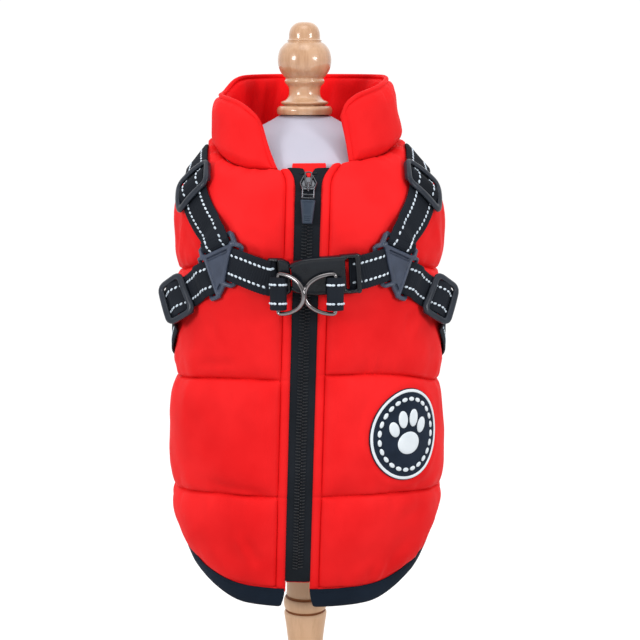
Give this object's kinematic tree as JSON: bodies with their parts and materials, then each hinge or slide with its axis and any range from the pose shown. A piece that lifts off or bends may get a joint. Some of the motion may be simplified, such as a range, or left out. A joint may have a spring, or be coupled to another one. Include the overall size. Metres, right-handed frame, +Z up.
{
  "type": "dog winter coat on a dress form",
  "caption": "Padded red dog coat with a stand-up collar, front zip and built-in buckled harness, worn by a limbless form on a turned wooden stand.",
  "frame": {"origin": "middle of the box, on the surface that the stand's base rests on", "axes": "+Z up along the stand, -Y out of the zipped side, +X to the right as the zip is faced"},
  "size_m": [0.1879, 0.186, 0.4529],
  "materials": {
    "red_cloth": "smooth matt woven shell over padding, soft sheen",
    "navy_binding": "fine ribbed binding tape, matt",
    "webbing": "woven harness webbing with two rows of reflective stitches",
    "slate_plastic": "satin moulded plastic",
    "black_plastic": "smooth moulded plastic, semi-gloss",
    "zip_tape": "twill zip tape and moulded teeth",
    "zip_metal": "polished grey die-cast metal",
    "grip_rubber": "soft moulded grip",
    "ring_metal": "plated steel wire",
    "form_cloth": "pale fine-knit cover stretched smooth",
    "turned_wood": "turned pale wood under clear gloss lacquer",
    "patch_rubber": "soft moulded patch, matt"
  },
  "bodies": {
    "coat": {"armhole_binding_left": "navy_binding", "armhole_binding_right": "navy_binding", "base": "turned_wood", "buckle_female": "black_plastic", "buckle_male": "black_plastic", "buckle_strap_left": "webbing", "buckle_strap_right": "webbing", "collar": "red_cloth", "dress_form": "form_cloth", "finial": "turned_wood", "girth_glide_left": "slate_plastic", "girth_glide_right": "slate_plastic", "girth_strap": "webbing", "hem_binding_belly": "navy_binding", "hem_binding_left": "navy_binding", "hem_binding_right": "navy_binding", "neck_glide_left": "slate_plastic", "neck_glide_right": "slate_plastic", "neck_strap": "webbing", "panel_belly": "red_cloth", "panel_left": "red_cloth", "panel_right": "red_cloth", "patch": "patch_rubber", "post": "turned_wood", "ring_loop_left": "webbing", "ring_loop_right": "webbing", "yoke_left": "slate_plastic", "yoke_right": "slate_plastic", "zip_chain": "zip_tape", "zip_guard": "red_cloth", "zip_slider": "zip_metal", "zip_tape_left": "zip_tape", "zip_tape_right": "zip_tape"},
    "zip_pull": {"zip_pull": "zip_metal", "zip_pull_grip": "grip_rubber"},
    "d_ring_left": {"d_ring_left": "ring_metal"},
    "d_ring_right": {"d_ring_right": "ring_metal"}
  },
  "joints": [
    {"name": "zip_pull_swing", "type": "hinge", "parent": "coat", "child": "zip_pull", "pos_m": [0.0027, -0.0662, 0.3578], "axis": [-1, 0, 0], "range_deg": [0, 150]},
    {"name": "d_ring_left_swing", "type": "hinge", "parent": "coat", "child": "d_ring_left", "pos_m": [-0.0143, -0.0817, 0.298], "axis": [0, 0, -1], "range_deg": [0, 115]},
    {"name": "d_ring_right_swing", "type": "hinge", "parent": "coat", "child": "d_ring_right", "pos_m": [0.0181, -0.0831, 0.298], "axis": [0, 0, 1], "range_deg": [0, 140]}
  ]
}
